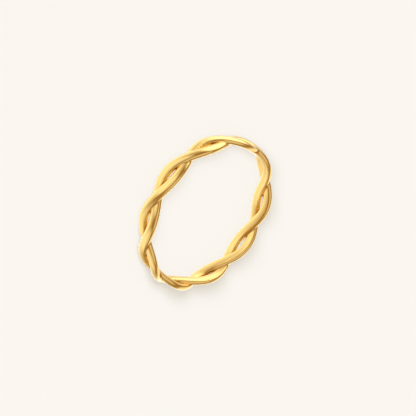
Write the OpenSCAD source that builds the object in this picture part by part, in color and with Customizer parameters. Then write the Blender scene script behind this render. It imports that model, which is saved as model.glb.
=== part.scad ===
// Twist ring: two smooth strands wound round each other and closed into one band.
// The ring lies on its side on the floor. +Z is the finger axis, the origin is on the floor
// at the middle of the ring. Sizes are in millimetres and angles in degrees.

/* [Finger size] */
// Width of the finger opening between the innermost strand faces
inner_diameter = 17.3; // [14:0.1:23]

/* [Strands] */
// Width of one strand, measured along the finger
strand_width = 1.2; // [0.8:0.05:1.5]
// Thickness of one strand, measured away from the finger
strand_thickness = 0.8; // [0.5:0.05:1.2]
// Shape of the face toward the finger: 1 is a full oval, less is flatter
inner_flatness = 0.7; // [0.5:0.05:1]

/* [Twist] */
// Full turns that each strand makes round the other on its way round the finger
turns = 5; // [3:1:7]
// How far each strand swings to either side of the middle of the band
side_swing = 0.79; // [0.65:0.01:1]
// How far each strand rises and dips where the two cross
cross_lift = 0.21; // [0.1:0.01:0.35]

/* [Hand-made shape] */
// How much the band bulges at three places, compared with a true circle
out_of_round = 0.06; // [0:0.01:0.2]
// Direction of the first bulge
bulge_angle = 36.7; // [0:0.1:120]
// How far one strand bows outward on the back of the band
bow = 0.55; // [0:0.05:0.6]
// Direction of the bow
bow_angle = 168.7; // [0:0.1:360]
// How widely the bow spreads to either side
bow_spread = 13.2; // [8:0.1:20]
// How far each wall is cut back in the eye that stands widest open
wide_eye = 0.075; // [0:0.005:0.1]
// Direction of the eye that stands widest open
wide_eye_angle = 95; // [0:1:360]
// How far round the ring the cut reaches to either side
wide_eye_spread = 28; // [15:1:40]
// How far each wall stands into the eye that is nearly closed
close_eye = 0.1; // [0:0.005:0.12]
// Direction of the eye that is nearly closed
close_eye_angle = 54; // [0:1:360]
// How far round the ring the narrowing reaches to either side
close_eye_spread = 14; // [10:1:40]

/* [Colour] */
// Metal colour
metal_colour = "#e6b65a"; // [#e6b65a, #d9dbe0, #e0a98c]

/* [Hidden] */
// Radius of the circle that both strands are wound about
mean_radius = inner_diameter / 2 + cross_lift + strand_thickness / 2;
// Height of the middle of the band above the floor
mid_height = side_swing + strand_width / 2;
// Lengthwise pieces in each turn of the twist, and sides of the strand
steps_per_turn = 32;
strand_sides = 12;

// 1 in one direction round the finger, fading softly to 0 on both sides of it
function nearness(a, direction, spread) =
    let (off = abs(a - direction) > 180 ? 360 - abs(a - direction) : abs(a - direction))
    exp(-pow(off / spread, 2));

// Middle of strand k (0 or 1) at angle a round the finger
function path(a, k) =
    let (
        phase = 180 * k - turns * a,
        bowed = k == 0 ? bow * nearness(a, bow_angle, bow_spread) : 0,
        radius = mean_radius + out_of_round * cos(3 * (a - bulge_angle))
            + cross_lift * cos(phase) + bowed
    )
    [radius * cos(a), radius * sin(a), mid_height + side_swing * sin(phase)];

// Direction in which strand k runs at angle a
function heading(a, k) =
    let (d = path(a + 0.05, k) - path(a - 0.05, k)) d / norm(d);

// Half the strand's width at angle a, on the side that c points to: less where an eye is cut wider,
// and more where it is nearly closed
function half_width(a, k, c) =
    let (
        toward_eye = max(0, sign(c) * sin(180 * k - turns * a)),
        cut = wide_eye * nearness(a, wide_eye_angle, wide_eye_spread),
        added = close_eye * nearness(a, close_eye_angle, close_eye_spread)
    )
    strand_width / 2 + (added - cut) * pow(toward_eye, 2);

// Signed power that flattens one side of the oval
function squash(v, e) = sign(v) * pow(abs(v), e);

// Outline of strand k at angle a: domed away from the finger, flatter toward it
function outline(a, k) =
    let (
        along = heading(a, k),
        side_raw = cross(along, [cos(a), sin(a), 0]),
        side = side_raw / norm(side_raw),
        out = cross(side, along),
        mid = path(a, k)
    )
    [for (i = [0 : strand_sides - 1])
        let (
            s = 360 * i / strand_sides,
            e = sin(s) < 0 ? inner_flatness : 1
        )
        mid + side * half_width(a, k, cos(s)) * squash(cos(s), e)
            + out * strand_thickness / 2 * squash(sin(s), e)];

// Triangles of a short piece between two outlines of n points
function piece_faces(n) = concat(
    [[for (i = [0 : n - 1]) i]],
    [[for (i = [0 : n - 1]) 2 * n - 1 - i]],
    [for (i = [0 : n - 1]) [i, n + i, (i + 1) % n]],
    [for (i = [0 : n - 1]) [n + i, n + (i + 1) % n, (i + 1) % n]]
);

// One strand, made of short pieces that share their ends
module strand(k) {
    steps = steps_per_turn * turns;
    for (i = [0 : steps - 1])
        hull()
            polyhedron(
                points = concat(outline(360 * i / steps, k), outline(360 * ((i + 1) % steps) / steps, k)),
                faces = piece_faces(strand_sides)
            );
}

// The whole band: both strands, run together where they cross
module twist_band() {
    color(metal_colour)
        union() {
            strand(0);
            strand(1);
        }
}

twist_band();
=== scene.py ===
"""Twist ring: two polished gold strands wound round each other, lying on a pale studio floor.

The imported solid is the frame. One finished piece takes its place in the picture: the band, with
its strands run softly into one another at the crossings. Lengths in the panel are in metres.
"""
import math
from typing import NamedTuple

import bpy
import numpy as np
from mathutils import Matrix, Vector


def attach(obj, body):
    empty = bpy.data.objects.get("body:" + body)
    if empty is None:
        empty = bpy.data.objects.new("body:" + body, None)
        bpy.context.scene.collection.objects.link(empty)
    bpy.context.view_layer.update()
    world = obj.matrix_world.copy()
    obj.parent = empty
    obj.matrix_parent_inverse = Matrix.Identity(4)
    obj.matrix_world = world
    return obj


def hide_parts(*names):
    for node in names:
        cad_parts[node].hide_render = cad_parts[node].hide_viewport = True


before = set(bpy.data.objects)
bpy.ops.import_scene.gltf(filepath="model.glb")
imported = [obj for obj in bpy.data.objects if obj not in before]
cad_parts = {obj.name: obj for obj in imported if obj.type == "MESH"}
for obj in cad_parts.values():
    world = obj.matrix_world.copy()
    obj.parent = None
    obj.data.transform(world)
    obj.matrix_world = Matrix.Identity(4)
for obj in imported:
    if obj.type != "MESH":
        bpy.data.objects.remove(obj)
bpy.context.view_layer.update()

bl_info = {
    "name": "Twist Ring",
    "version": (1, 0, 0),
    "blender": (4, 5, 0),
    "location": "View3D > Sidebar > Twist Ring",
    "description": "Builds a polished gold twist ring and the pale studio that it lies in",
    "category": "Object",
}

MM = 0.001
FULL_TURN = 2 * math.pi


class SoftLamp(NamedTuple):
    """One soft oval panel, as the ring reflects it, in degrees with azimuth 0 along +X.

    The edge is how far the panel fades to either side of its outline, as a share of its size.
    """

    name: str
    azimuth: float
    elevation: float
    brightness: float
    half_width: float = 30
    half_height: float = 35
    edge: float = 0.3


# The light tent round the ring: four walls, one panel overhead and the table below
LIGHT_TENT = (
    SoftLamp("left wall", 180, 0, 1.4),
    SoftLamp("back wall", 90, 0, 0.9),
    SoftLamp("right wall", 0, 0, 0.6),
    SoftLamp("front wall", 270, 0, 0.7),
    SoftLamp("overhead", 0, 90, 0.5),
    SoftLamp("table", 0, -90, 1.1, half_width=60, half_height=60, edge=0.4),
)

# Gap to the other strand, in millimetres, up to which a mark is full and from which it is gone
EYE_WALL_GAP = (0.36, 0.81)
EYE_PIT_GAP = (0.133, 0.323)
SEAM_GAP = (0.0, 0.25)
# How directly a surface faces the other strand where it starts to be a wall, and where it is one in full,
# with the power that the rise between them follows
WALL_FACING = (-0.2, 0.5)
WALL_SHARPNESS = 1.5
# How closely the seam's colour keeps to the seam, and how strong it is there
SEAM_SHARPNESS = 3.0
SEAM_STRENGTH = 0.8
# Roughness that the highest polishing lines add
LINE_ROUGHNESS = 0.08
# Step for slopes round the ring, in radians, and rounds in which a point finds its place
ANGLE_STEP = 1e-4
ROUNDS = 5
# Smallest values to divide by: in general, for one strand's slope, and for the joined slope squared
TINY = 1e-6
LEAST_SLOPE = 1e-3
LEAST_SLOPE_SQUARED = 0.05
# Fineness of the polishing lines across and along a strand, and what keeps the two strands' lines apart
LINES_ACROSS = (5.0, 3.5, 0.0)
LINES_ALONG = 300.0
STRANDS_APART = 5.0


def length(name, description, default_mm):
    """A length property, shown in the scene's own unit."""
    return bpy.props.FloatProperty(
        name=name, description=description, default=default_mm * MM, unit="LENGTH", precision=5
    )


def angle(name, description, default_degrees):
    """An angle property, shown in degrees."""
    return bpy.props.FloatProperty(
        name=name, description=description, default=math.radians(default_degrees), unit="ROTATION"
    )


def number(name, description, default, low=0.0, high=10.0):
    """A plain number property."""
    return bpy.props.FloatProperty(name=name, description=description, default=default, min=low, max=high)


def colour(name, description, default):
    """A colour property, as linear red, green and blue."""
    return bpy.props.FloatVectorProperty(
        name=name, description=description, default=default, subtype="COLOR", size=3, min=0.0, max=1.0
    )


class BandSizes(bpy.types.PropertyGroup):
    """Sizes of the twisted band."""

    inner_diameter: length("Inside diameter", "Finger opening between the innermost strand faces", 17.3)
    strand_width: length("Strand width", "Width of one strand along the finger", 1.2)
    strand_thickness: length("Strand thickness", "Thickness of one strand away from the finger", 0.8)
    inner_flatness: number("Inner flatness", "1 is a full oval, less is flatter toward the finger", 0.7)
    turns: bpy.props.IntProperty(
        name="Turns", description="Full turns each strand makes round the other", default=5, min=3, max=7
    )
    side_swing: length("Side swing", "How far a strand swings to either side of the band's middle", 0.79)
    cross_lift: length("Crossing lift", "How far a strand rises and dips where two cross", 0.21)
    out_of_round: length("Out of round", "Bulge of the hand-made band at three places", 0.06)
    bulge_angle: angle("Bulge direction", "Direction of the first bulge", 36.7)
    bow: length("Bow", "How far one strand bows outward at the back", 0.55)
    bow_angle: angle("Bow direction", "Direction of the bow", 168.7)
    bow_spread: angle("Bow spread", "How widely the bow spreads to either side", 13.2)
    wide_eye: length("Wide eye", "How far each wall is cut back in the eye that stands widest open", 0.075)
    wide_eye_angle: angle("Wide eye direction", "Direction of the eye that stands widest open", 95.0)
    wide_eye_spread: angle("Wide eye spread", "How far the cut reaches to either side", 28.0)
    close_eye: length("Close eye", "How far each wall stands into the eye that is nearly closed", 0.1)
    close_eye_angle: angle("Close eye direction", "Direction of the eye that is nearly closed", 54.0)
    close_eye_spread: angle("Close eye spread", "How far the narrowing reaches to either side", 14.0)
    weld_softness: length("Weld softness", "Size of the soft fillet where the strands run together", 0.10)
    mesh_fineness: length("Mesh fineness", "Size of the mesh's faces", 0.072)


class GoldFinish(bpy.types.PropertyGroup):
    """Look of the polished metal."""

    gold: colour("Gold", "Colour of the polished gold", (0.96, 0.68, 0.275))
    deep_gold: colour("Deep gold", "Slightly redder gold of the colour variation", (0.95, 0.65, 0.245))
    # Painted shade: deep orange put on the eyes' walls for the shade and gold-on-gold reflection between the
    # strands
    eye_shade_gold: colour("Eye shade gold", "Colour in the eyes, where the polish doesn't reach", (0.98, 0.62, 0.12))
    # Painted shade: dark brown put in the middle of the nearly closed eye, where shade falls
    pit_shade_gold: colour("Pit shade", "Colour in the middle of an eye that is nearly closed", (0.40, 0.14, 0.01))
    seam_gold: colour("Seam gold", "Colour in the seam where one strand passes the other", (0.64, 0.32, 0.08))
    polish: number("Polish roughness", "Roughness of the cleanest polish", 0.05, 0.0, 1.0)
    rubbed: number("Rubbed roughness", "Roughness where the polish is lightly rubbed", 0.13, 0.0, 1.0)
    cast: number("Cast roughness", "Roughness in the eyes, where the polish doesn't reach", 0.45, 0.0, 1.0)
    wave_height: length("Wave height", "Height of the soft waves left by hand polishing", 0.020)
    line_height: length("Line height", "Height of the fine polishing lines along the strands", 0.008)
    grain_height: length("Grain height", "Height of the cast grain in the eyes", 0.030)


class StudioSetting(bpy.types.PropertyGroup):
    """Floor, light and camera."""

    floor_colour: colour("Floor", "Colour of the floor", (0.95, 0.92, 0.86))
    backdrop_light: number("Backdrop light", "Makes the backdrop as bright as the lit floor", 1.0155)
    dome_colour: colour("Dome", "Colour of the soft light from all round", (1.0, 1.0, 1.0))
    dome_light: number("Dome light", "Strength of the soft light from all round", 0.10)
    fill_colour: colour("Fill", "Colour of the even light from above, without shadow", (1.0, 0.949, 0.878))
    fill_light: number("Fill light", "Strength of the even light from above", 2.122)
    key_colour: colour("Key", "Colour of the soft lamp that gives the shadow", (0.75, 0.84, 1.0))
    key_light: number("Key light", "Light on the floor from the soft lamp", 12.8, 0.0, 100.0)
    key_azimuth: angle("Key azimuth", "Direction of the soft lamp round the ring, from the front", -2.0)
    key_distance: length("Key distance", "From the middle of the ring to below the soft lamp", 50.0)
    key_height: length("Key height", "Height of the soft lamp above the floor", 34.0)
    key_size: length("Key size", "Radius of the soft lamp", 12.0)
    lamp_colour: colour("Tent", "Colour of the light tent that the gold reflects", (0.8, 0.95, 1.0))
    lamp_light: number("Tent light", "Strength of the light tent that the gold reflects", 1.0)
    dim_colour: colour("Dim room", "Colour of the dim room between the panels", (0.38, 0.25, 0.1))
    camera_azimuth: angle("Camera azimuth", "Camera's direction round the ring, from the front", 6.69)
    camera_elevation: angle("Camera elevation", "Camera's height above the floor", 38.08)
    camera_distance: length("Camera distance", "From the middle of the band", 194.2)
    camera_roll: angle("Camera roll", "Direction of the finger axis in the picture, from its right", -33.57)
    camera_lens: number("Lens", "Focal length in millimetres on a 36 mm sensor", 143.4, 10.0, 400.0)
    frame_right: number("Frame right", "Shift of the picture's frame to the right", 0.00385, -1.0, 1.0)
    frame_up: number("Frame up", "Shift of the picture's frame upward", 0.01125, -1.0, 1.0)


def clear_selection():
    """Leave edit mode and deselect everything, because operators act on all that is selected."""
    if bpy.context.object and bpy.context.object.mode != "OBJECT":
        bpy.ops.object.mode_set(mode="OBJECT")
    bpy.ops.object.select_all(action="DESELECT")


def choose(*objects):
    """Select only these objects, with the first one active."""
    clear_selection()
    for thing in objects:
        thing.select_set(True)
    bpy.context.view_layer.objects.active = objects[0]


def nearness(a, direction, spread):
    """1 in one direction round the finger, fading softly to 0 on both sides of it."""
    off = (a - direction + math.pi) % FULL_TURN - math.pi
    return np.exp(-((off / spread) ** 2))


class Strand:
    """The path and oval outline of one strand, in millimetres with the band's middle at height 0."""

    def __init__(self, sizes, index):
        self.index = index
        self.turns = sizes.turns
        self.swing = sizes.side_swing / MM
        self.lift = sizes.cross_lift / MM
        self.half_width = sizes.strand_width / MM / 2
        self.half_thick = sizes.strand_thickness / MM / 2
        self.radius = sizes.inner_diameter / MM / 2 + self.lift + self.half_thick
        self.bulge, self.bulge_angle = sizes.out_of_round / MM, sizes.bulge_angle
        self.bow = sizes.bow / MM if index == 0 else 0.0
        self.bow_angle, self.bow_spread = sizes.bow_angle, sizes.bow_spread
        self.wide_eye = sizes.wide_eye / MM
        self.wide_eye_angle, self.wide_eye_spread = sizes.wide_eye_angle, sizes.wide_eye_spread
        self.close_eye = sizes.close_eye / MM
        self.close_eye_angle, self.close_eye_spread = sizes.close_eye_angle, sizes.close_eye_spread
        self.flat_power = 2 / sizes.inner_flatness

    def path(self, a):
        """Middle of the strand at angles a round the finger."""
        phase = math.pi * self.index - self.turns * a
        radius = (
            self.radius
            + self.bulge * np.cos(3 * (a - self.bulge_angle))
            + self.lift * np.cos(phase)
            + self.bow * nearness(a, self.bow_angle, self.bow_spread)
        )
        return np.stack([radius * np.cos(a), radius * np.sin(a), self.swing * np.sin(phase)], -1)

    def half_widths(self, a, u):
        """Half the strand's width at angles a, on the side that u points to."""
        toward_eye = np.maximum(np.sign(u) * np.sin(math.pi * self.index - self.turns * a), 0)
        cut = self.wide_eye * nearness(a, self.wide_eye_angle, self.wide_eye_spread)
        added = self.close_eye * nearness(a, self.close_eye_angle, self.close_eye_spread)
        return self.half_width + (added - cut) * toward_eye**2

    def axes(self, a):
        """Unit vectors along the strand, to its side and away from the finger."""
        along = self.path(a + ANGLE_STEP) - self.path(a - ANGLE_STEP)
        along /= np.linalg.norm(along, axis=-1, keepdims=True)
        away = np.stack([np.cos(a), np.sin(a), 0 * a], -1)
        side = np.cross(along, away)
        side /= np.linalg.norm(side, axis=-1, keepdims=True)
        return along, side, np.cross(side, along)

    def skin(self, a, s):
        """Points on the strand's surface at angles a round the finger and s round the strand."""
        power = np.where(np.cos(s) < 0, 2 / self.flat_power, 1.0)
        across = np.sign(np.sin(s)) * np.abs(np.sin(s)) ** power
        out = np.sign(np.cos(s)) * np.abs(np.cos(s)) ** power
        _, side, away = self.axes(a)
        return (
            self.path(a)
            + side * (self.half_widths(a, across) * across)[:, None]
            + away * (self.half_thick * out)[:, None]
        )

    def section(self, points):
        """Where points lie in the strand's cross-section, in half widths and half thicknesses."""
        a = np.arctan2(points[:, 1], points[:, 0])
        for _ in range(ROUNDS):
            run = (self.path(a + ANGLE_STEP) - self.path(a - ANGLE_STEP)) / (2 * ANGLE_STEP)
            a += np.einsum("ij,ij->i", points - self.path(a), run) / np.einsum("ij,ij->i", run, run)
        _, side, away = self.axes(a)
        offset = points - self.path(a)
        u = np.einsum("ij,ij->i", offset, side)
        v = np.einsum("ij,ij->i", offset, away) / self.half_thick
        return u / self.half_widths(a, u), v

    def distance(self, points):
        """Estimated distance from points to the strand's surface, negative inside."""
        u, v = self.section(points)
        power = np.where(v < 0, self.flat_power, 2.0)
        u, v = np.abs(u), np.abs(v)
        reach = np.maximum((u**power + v**power) ** (1 / power), TINY)
        slope_u = (u / reach) ** (power - 1) / self.half_width
        slope_v = (v / reach) ** (power - 1) / self.half_thick
        return (reach - 1) / np.maximum(np.hypot(slope_u, slope_v), LEAST_SLOPE)


def blended_distance(points, strands, softness):
    """Distance to both strands run together, with a soft fillet between them."""
    first, second = (strand.distance(points) for strand in strands)
    near = np.maximum(softness - np.abs(first - second), 0) / softness
    return np.minimum(first, second) - near * near * softness / 4


def slope_of(distance, points, step=1e-3):
    """Direction in which a distance grows fastest at each point, with its steepness."""
    return np.stack(
        [distance(points + step * axis) - distance(points - step * axis) for axis in np.eye(3)], -1
    ) / (2 * step)


def settle(points, strands, softness):
    """Move points onto the blended surface along its own slope."""

    def surface(p):
        return blended_distance(p, strands, softness)

    for _ in range(ROUNDS):
        slope = slope_of(surface, points)
        steep = np.maximum(np.einsum("ij,ij->i", slope, slope), LEAST_SLOPE_SQUARED)
        points = points - slope * (surface(points) / steep)[:, None]
    return points


def finish_marks(mesh, points, strands):
    """Write on a mesh what its finish and its painted shade follow: the strand's section, the eyes' walls and
    pits, the seams.
    """
    gaps = [strand.distance(points) for strand in strands]
    on_first = gaps[0] < gaps[1]
    sections = [np.stack(strand.section(points), -1) for strand in strands]
    place = np.where(on_first[:, None], sections[0], sections[1])
    slopes = [slope_of(strand.distance, points) for strand in strands]
    own = np.where(on_first[:, None], slopes[0], slopes[1])
    other = np.where(on_first[:, None], slopes[1], slopes[0])
    gap = np.maximum(np.where(on_first, gaps[1], gaps[0]), 0)
    lengths = np.linalg.norm(own, axis=-1) * np.linalg.norm(other, axis=-1)
    facing = -np.einsum("ij,ij->i", own, other) / np.maximum(lengths, TINY)
    wall = np.interp(facing, WALL_FACING, (0, 1)) ** WALL_SHARPNESS
    # 1 in the middle of an eye and 0 where the strands cross
    middle = np.sin(strands[0].turns * np.arctan2(points[:, 1], points[:, 0])) ** 2
    marks = {
        # The eye wall mark carries the eyes' cast roughness and grain, and also their painted orange shade
        "eye_wall": wall * np.interp(gap, EYE_WALL_GAP, (1, 0)),
        # The eye pit mark carries only painted dark shade
        "eye_pit_shade": wall * middle * np.interp(gap, EYE_PIT_GAP, (1, 0)),
        "seam": np.interp(gap, SEAM_GAP, (1, 0)),
    }
    for name, values in marks.items():
        mesh.attributes.new(name, "FLOAT", "POINT").data.foreach_set("value", values.astype(np.float32))
    section = np.column_stack([place, np.where(on_first, 0.0, STRANDS_APART)]).astype(np.float32)
    mesh.attributes.new("section", "FLOAT_VECTOR", "POINT").data.foreach_set("vector", section.ravel())


def mesh_points(mesh):
    """A mesh's vertices as an array of points."""
    flat = np.empty(len(mesh.vertices) * 3)
    mesh.vertices.foreach_get("co", flat)
    return flat.reshape(-1, 3)


def set_mesh_points(mesh, points):
    """Put a mesh's vertices at these points."""
    mesh.vertices.foreach_set("co", np.ascontiguousarray(points).ravel())
    mesh.update()


def add_strand(strand, tube_radius=0.5):
    """A torus primitive whose tube is drawn onto the strand's winding oval outline."""
    clear_selection()
    bpy.ops.mesh.primitive_torus_add(
        major_segments=600, minor_segments=36, major_radius=strand.radius, minor_radius=tube_radius
    )
    tube = bpy.context.object
    points = mesh_points(tube.data)
    a = np.arctan2(points[:, 1], points[:, 0])
    s = np.arctan2(points[:, 2], np.hypot(points[:, 0], points[:, 1]) - strand.radius)
    set_mesh_points(tube.data, strand.skin(a, s))
    return tube


def finish_normals(piece):
    """Turn every face of a closed piece outward and shade it smooth."""
    choose(piece)
    bpy.ops.object.mode_set(mode="EDIT")
    bpy.ops.mesh.select_all(action="SELECT")
    bpy.ops.mesh.normals_make_consistent(inside=False)
    bpy.ops.object.mode_set(mode="OBJECT")
    bpy.ops.object.shade_smooth()


def new_material(name):
    """An empty node material and its node tree."""
    material = bpy.data.materials.new(name)
    material.use_nodes = True
    material.node_tree.nodes.clear()
    return material, material.node_tree


def add_node(tree, kind, inputs=None, **settings):
    """Add a node, set its fields, and set or link its inputs by name or number."""
    node = tree.nodes.new(kind)
    for key, value in settings.items():
        setattr(node, key, value)
    for key, value in (inputs or {}).items():
        if isinstance(value, bpy.types.NodeSocket):
            tree.links.new(value, node.inputs[key])
        else:
            node.inputs[key].default_value = value
    return node


def calculate(tree, operation, first, second):
    """The result of one step of arithmetic on two values or sockets."""
    return add_node(tree, "ShaderNodeMath", {0: first, 1: second}, operation=operation).outputs[0]


def add_mix(tree, factor, first, second):
    """Mix two colours, given as values or sockets, and return the mixed colour's socket."""
    mix = tree.nodes.new("ShaderNodeMix")
    mix.data_type = "RGBA"
    sockets = {socket.identifier: socket for socket in mix.inputs}
    for key, value in (("Factor_Float", factor), ("A_Color", first), ("B_Color", second)):
        if isinstance(value, bpy.types.NodeSocket):
            tree.links.new(value, sockets[key])
        else:
            sockets[key].default_value = value
    return next(socket for socket in mix.outputs if socket.identifier == "Result_Color")


def soft_lamp_group():
    """Node group: brightness of one soft oval panel in the direction that a ray looks."""
    tree = bpy.data.node_groups.new("soft_lamp", "ShaderNodeTree")
    for name, kind in (
        ("Direction", "NodeSocketVector"),
        ("Rotation", "NodeSocketVector"),
        ("Size", "NodeSocketVector"),
        ("Inner Edge", "NodeSocketFloat"),
        ("Outer Edge", "NodeSocketFloat"),
        ("Brightness", "NodeSocketFloat"),
    ):
        tree.interface.new_socket(name, in_out="INPUT", socket_type=kind)
    tree.interface.new_socket("Light", in_out="OUTPUT", socket_type="NodeSocketFloat")
    given = tree.nodes.new("NodeGroupInput").outputs
    facing = add_node(
        tree,
        "ShaderNodeMapping",
        {"Vector": given["Direction"], "Rotation": given["Rotation"], "Scale": given["Size"]},
        vector_type="TEXTURE",
    ).outputs["Vector"]
    flat = add_node(tree, "ShaderNodeVectorMath", {0: facing, 1: (1, 1, 0)}, operation="MULTIPLY")
    reach = add_node(tree, "ShaderNodeVectorMath", {0: flat.outputs[0]}, operation="LENGTH")
    glow = add_node(
        tree,
        "ShaderNodeMapRange",
        {
            "Value": reach.outputs["Value"],
            "From Min": given["Outer Edge"],
            "From Max": given["Inner Edge"],
        },
        interpolation_type="SMOOTHSTEP",
    )
    depth = add_node(tree, "ShaderNodeSeparateXYZ", {0: facing}).outputs["Z"]
    ahead = calculate(tree, "GREATER_THAN", depth, 0.0)
    lit = calculate(tree, "MULTIPLY", glow.outputs["Result"], ahead)
    light = calculate(tree, "MULTIPLY", lit, given["Brightness"])
    add_node(tree, "NodeGroupOutput", {"Light": light})
    return tree


def studio_world(studio):
    """An even pale dome, in whose place polished metal sees a light tent in a dim room.

    The camera itself sees a plain backdrop, as bright as the lit floor.
    """
    world = bpy.data.worlds.new("studio")
    world.use_nodes = True
    tree = world.node_tree
    tree.nodes.clear()
    direction = add_node(tree, "ShaderNodeTexCoord").outputs["Generated"]
    group = soft_lamp_group()
    total = 0.0
    for lamp in LIGHT_TENT:
        tip = Matrix.Rotation(math.pi / 2 - math.radians(lamp.elevation), 3, "X")
        swing = Matrix.Rotation(math.radians(lamp.azimuth) + math.pi / 2, 3, "Z")
        width, height = (math.sin(math.radians(half)) for half in (lamp.half_width, lamp.half_height))
        given = {
            "Direction": direction,
            "Rotation": (swing @ tip).to_euler(),
            "Size": (width, height, 1.0),
            "Inner Edge": 1 - lamp.edge,
            "Outer Edge": 1 + lamp.edge,
            "Brightness": lamp.brightness * studio.lamp_light,
        }
        panel = add_node(tree, "ShaderNodeGroup", given, node_tree=group, label=lamp.name)
        total = calculate(tree, "ADD", total, panel.outputs["Light"])
    lamps = add_node(tree, "ShaderNodeBackground", {"Color": (*studio.lamp_colour, 1), "Strength": total})
    room = add_node(tree, "ShaderNodeBackground", {"Color": (*studio.dim_colour, 1)})
    seen = add_node(tree, "ShaderNodeAddShader", {0: lamps.outputs[0], 1: room.outputs[0]})
    dome = add_node(
        tree, "ShaderNodeBackground", {"Color": (*studio.dome_colour, 1), "Strength": studio.dome_light}
    )
    path = add_node(tree, "ShaderNodeLightPath")
    # A straight ray hasn't met a dull surface, such as the floor, before it meets the metal
    straight = calculate(tree, "LESS_THAN", path.outputs["Diffuse Depth"], 0.5)
    mirrored = calculate(tree, "MULTIPLY", path.outputs["Is Glossy Ray"], straight)
    surround = add_node(tree, "ShaderNodeMixShader", {0: mirrored, 1: dome.outputs[0], 2: seen.outputs[0]})
    backdrop = add_node(
        tree, "ShaderNodeBackground", {"Color": (*studio.floor_colour, 1), "Strength": studio.backdrop_light}
    )
    shown = add_node(
        tree,
        "ShaderNodeMixShader",
        {0: path.outputs["Is Camera Ray"], 1: surround.outputs[0], 2: backdrop.outputs[0]},
    )
    add_node(tree, "ShaderNodeOutputWorld", {"Surface": shown.outputs[0]})
    return world


def noise(tree, place, scale, detail=2.0):
    """A noise texture's height, at a place given in the piece's own coordinates."""
    given = {"Vector": place, "Scale": scale, "Detail": detail}
    return add_node(tree, "ShaderNodeTexNoise", given).outputs["Fac"]


def remap(tree, value, low, high, out_low=0.0, out_high=1.0):
    """Carry a value from one range to another, held at both ends."""
    given = {"Value": value, "From Min": low, "From Max": high, "To Min": out_low, "To Max": out_high}
    return add_node(tree, "ShaderNodeMapRange", given).outputs["Result"]


def attribute(tree, name, output):
    """An attribute that the band's mesh carries."""
    return add_node(tree, "ShaderNodeAttribute", attribute_name=name).outputs[output]


def polishing_lines(tree, place):
    """Height of the fine lines that run along each strand, closed round the ring."""
    section = attribute(tree, "section", "Vector")
    across = add_node(tree, "ShaderNodeVectorMath", {0: section, 1: LINES_ACROSS}, operation="MULTIPLY")
    split = add_node(tree, "ShaderNodeSeparateXYZ", {0: across.outputs[0]})
    strand = add_node(tree, "ShaderNodeSeparateXYZ", {0: section}).outputs["Z"]
    ring = add_node(tree, "ShaderNodeSeparateXYZ", {0: place})
    along = add_node(
        tree,
        "ShaderNodeCombineXYZ",
        {
            0: split.outputs["X"],
            1: split.outputs["Y"],
            2: calculate(tree, "MULTIPLY", ring.outputs["X"], LINES_ALONG),
        },
    ).outputs[0]
    fourth = calculate(tree, "ADD", calculate(tree, "MULTIPLY", ring.outputs["Y"], LINES_ALONG), strand)
    lines = add_node(
        tree,
        "ShaderNodeTexNoise",
        {"Vector": along, "W": fourth, "Scale": 1.0, "Detail": 3.0},
        noise_dimensions="4D",
    )
    return lines.outputs["Fac"]


def raised(tree, height, distance, normal=None):
    """A bump of a height, laid over the normal of the bump before it."""
    bump = add_node(tree, "ShaderNodeBump", {"Strength": 1.0, "Distance": distance, "Height": height})
    if normal:
        tree.links.new(normal, bump.inputs["Normal"])
    return bump.outputs["Normal"]


def gold_material(finish):
    """Hand-polished gold: soft waves and fine lines on the strands, cast grain left in the eyes. The eyes'
    walls also get a painted orange shade and reflection, and the nearly closed eye a painted dark shade in
    its pit.
    """
    material, tree = new_material("polished_gold")
    place = add_node(tree, "ShaderNodeTexCoord").outputs["Object"]
    grain = noise(tree, place, scale=6000.0, detail=4.0)
    patches = noise(tree, place, scale=900.0, detail=3.0)
    # Patches where the eyes stay rough and grainy, which also carry the painted orange shade on their walls
    unpolished_and_shaded = remap(tree, patches, low=0.2, high=0.5)
    wall = calculate(tree, "MULTIPLY", attribute(tree, "eye_wall", "Fac"), unpolished_and_shaded)
    seam = calculate(tree, "POWER", attribute(tree, "seam", "Fac"), SEAM_SHARPNESS)
    lines = polishing_lines(tree, place)

    tones = noise(tree, place, scale=420.0, detail=3.0)
    polished = add_mix(tree, tones, (*finish.gold, 1.0), (*finish.deep_gold, 1.0))
    grainy = remap(tree, grain, low=0.38, high=0.62, out_low=0.4)
    uneven = calculate(tree, "MULTIPLY", wall, grainy)
    # Painted orange shade and reflection on the eyes' walls, laid over the polished gold
    cast = add_mix(tree, uneven, polished, (*finish.eye_shade_gold, 1.0))
    # Painted dark shade in the pit of the nearly closed eye
    pit_shaded = add_mix(tree, attribute(tree, "eye_pit_shade", "Fac"), cast, (*finish.pit_shade_gold, 1.0))
    seam_tint = calculate(tree, "MULTIPLY", seam, SEAM_STRENGTH)
    tint = add_mix(tree, seam_tint, pit_shaded, (*finish.seam_gold, 1.0))

    wear = noise(tree, place, scale=1100.0, detail=5.0)
    rubbed = remap(tree, wear, low=0.35, high=0.7, out_low=finish.polish, out_high=finish.rubbed)
    scratched = remap(tree, lines, low=0.45, high=0.75, out_high=LINE_ROUGHNESS)
    lined = calculate(tree, "ADD", rubbed, scratched)
    rough = add_node(tree, "ShaderNodeMix", {0: uneven, 2: lined, 3: finish.cast}).outputs[0]

    waves = raised(tree, noise(tree, place, scale=650.0), finish.wave_height)
    lined_waves = raised(tree, lines, finish.line_height, waves)
    rise = calculate(tree, "MULTIPLY", grain, wall)
    normal = raised(tree, rise, finish.grain_height, lined_waves)
    shader = add_node(
        tree,
        "ShaderNodeBsdfPrincipled",
        {"Base Color": tint, "Metallic": 1.0, "Roughness": rough, "Normal": normal},
    )
    add_node(tree, "ShaderNodeOutputMaterial", {"Surface": shader.outputs["BSDF"]})
    return material


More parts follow.
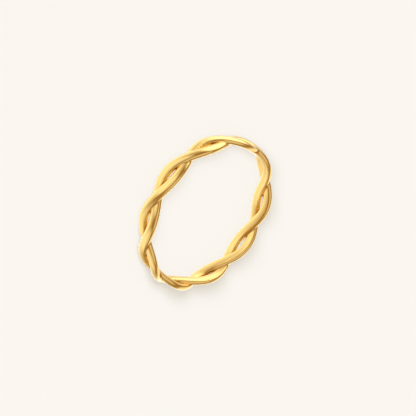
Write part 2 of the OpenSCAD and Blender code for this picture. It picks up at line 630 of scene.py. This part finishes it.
class RING_OT_band(bpy.types.Operator):
    """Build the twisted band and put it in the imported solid's place."""

    bl_idname = "ring.band"
    bl_label = "Twisted Band"

    def execute(self, context):
        sizes = context.scene.band_sizes
        strands = [Strand(sizes, 0), Strand(sizes, 1)]
        tubes = [add_strand(strand) for strand in strands]
        choose(*tubes)
        bpy.ops.object.join()
        band = context.object
        band.name = band.data.name = "band"
        weld = band.modifiers.new("weld", "REMESH")
        weld.mode = "VOXEL"
        weld.voxel_size = sizes.mesh_fineness / MM
        bpy.ops.object.modifier_apply(modifier=weld.name)
        if not band.data.polygons:
            raise RuntimeError("the strands did not weld into one band")
        points = settle(mesh_points(band.data), strands, sizes.weld_softness / MM)
        middle = strands[0].swing + strands[0].half_width
        finish_marks(band.data, points, strands)
        set_mesh_points(band.data, (points + [0, 0, middle]) * MM)
        finish_normals(band)
        band.data.materials.clear()
        band.data.materials.append(gold_material(context.scene.gold_finish))
        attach(band, "root")
        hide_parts("twist_band")
        return {"FINISHED"}


class RING_OT_stage(bpy.types.Operator):
    """Lay the pale floor, set the light and place the camera."""

    bl_idname = "ring.stage"
    bl_label = "Studio Stage"

    def execute(self, context):
        studio = context.scene.studio_setting
        clear_selection()
        bpy.ops.mesh.primitive_plane_add(size=4.0)
        floor = context.object
        floor.name = "floor"
        material, tree = new_material("pale_floor")
        shader = add_node(
            tree,
            "ShaderNodeBsdfPrincipled",
            {"Base Color": (*studio.floor_colour, 1.0), "Roughness": 1.0, "Specular IOR Level": 0.0},
        )
        add_node(tree, "ShaderNodeOutputMaterial", {"Surface": shader.outputs["BSDF"]})
        floor.data.materials.append(material)
        floor.visible_glossy = False
        context.scene.world = studio_world(studio)
        context.scene.view_settings.view_transform = "Standard"
        self.fill(studio)
        self.key(studio)
        self.camera(context, studio)
        return {"FINISHED"}

    def fill(self, studio):
        """Even light from above, which casts no shadow and isn't seen in the gold."""
        clear_selection()
        bpy.ops.object.light_add(type="SUN")
        fill = bpy.context.object
        fill.name = fill.data.name = "fill"
        fill.data.color = studio.fill_colour
        fill.data.energy = studio.fill_light
        fill.data.use_shadow = False
        fill.visible_glossy = False

    def key(self, studio):
        """A soft lamp close to the ring. It lights the floor evenly, because it grows with distance."""
        clear_selection()
        bpy.ops.object.light_add(type="POINT")
        key = bpy.context.object
        key.name = key.data.name = "key"
        a, reach = studio.key_azimuth, studio.key_distance
        key.location = (math.sin(a) * reach, -math.cos(a) * reach, studio.key_height)
        key.data.color = studio.key_colour
        key.data.energy = studio.key_light * studio.key_height**2
        key.data.shadow_soft_size = studio.key_size
        key.visible_glossy = False
        key.visible_camera = False
        key.data.use_nodes = True
        tree = key.data.node_tree
        tree.nodes.clear()
        # The two outputs multiplied are the cube of the distance, counted in heights of the lamp
        falloff = add_node(tree, "ShaderNodeLightFalloff", {"Strength": studio.key_height**-1.5})
        growth = calculate(tree, "MULTIPLY", falloff.outputs["Linear"], falloff.outputs["Constant"])
        glow = add_node(tree, "ShaderNodeEmission", {"Strength": growth})
        add_node(tree, "ShaderNodeOutputLight", {"Surface": glow.outputs[0]})

    def camera(self, context, studio):
        """A camera at the photo's angle, turned so that the finger axis points as it does there."""
        sizes = context.scene.band_sizes
        a, e, roll = studio.camera_azimuth, studio.camera_elevation, studio.camera_roll
        back = Vector((math.sin(a) * math.cos(e), -math.cos(a) * math.cos(e), math.sin(e)))
        axis_up = Vector((-math.sin(a) * math.sin(e), math.cos(a) * math.sin(e), math.cos(e)))
        across = Vector((math.cos(a), math.sin(a), 0))
        right = math.cos(roll) * axis_up + math.sin(roll) * across
        up = math.sin(roll) * axis_up - math.cos(roll) * across
        middle = Vector((0, 0, sizes.side_swing + sizes.strand_width / 2))
        place = Matrix((right, up, back)).transposed().to_4x4()
        place.translation = middle + back * studio.camera_distance
        clear_selection()
        bpy.ops.object.camera_add()
        camera = context.object
        camera.name = "camera"
        camera.matrix_world = place
        camera.data.lens = studio.camera_lens
        camera.data.sensor_width = 36.0
        camera.data.shift_x = studio.frame_right
        camera.data.shift_y = studio.frame_up
        camera.data.clip_start = 0.01
        camera.data.clip_end = 10.0
        context.scene.camera = camera


class RING_PT_panel(bpy.types.Panel):
    """Sizes, finish and studio of the twist ring."""

    bl_idname = "RING_PT_panel"
    bl_label = "Twist Ring"
    bl_space_type = "VIEW_3D"
    bl_region_type = "UI"
    bl_category = "Twist Ring"

    def draw(self, context):
        for heading, group in GROUPS.items():
            box = self.layout.box()
            box.label(text=heading.replace("_", " ").capitalize())
            for field in group.__annotations__:
                box.prop(getattr(context.scene, heading), field)
        for operator in OPERATORS:
            self.layout.operator(operator.bl_idname)


GROUPS = {"band_sizes": BandSizes, "gold_finish": GoldFinish, "studio_setting": StudioSetting}
OPERATORS = (RING_OT_band, RING_OT_stage)
CLASSES = (*GROUPS.values(), *OPERATORS, RING_PT_panel)


def register():
    """Make the classes known, and give the scene its sizes, finish and studio."""
    for cls in CLASSES:
        bpy.utils.register_class(cls)
    for name, group in GROUPS.items():
        setattr(bpy.types.Scene, name, bpy.props.PointerProperty(type=group))


def unregister():
    """Take back what register did."""
    for name in GROUPS:
        delattr(bpy.types.Scene, name)
    for cls in reversed(CLASSES):
        bpy.utils.unregister_class(cls)


def main():
    """Build the ring and its studio."""
    register()
    bpy.ops.ring.band()
    bpy.ops.ring.stage()


if __name__ == "__main__":
    main()
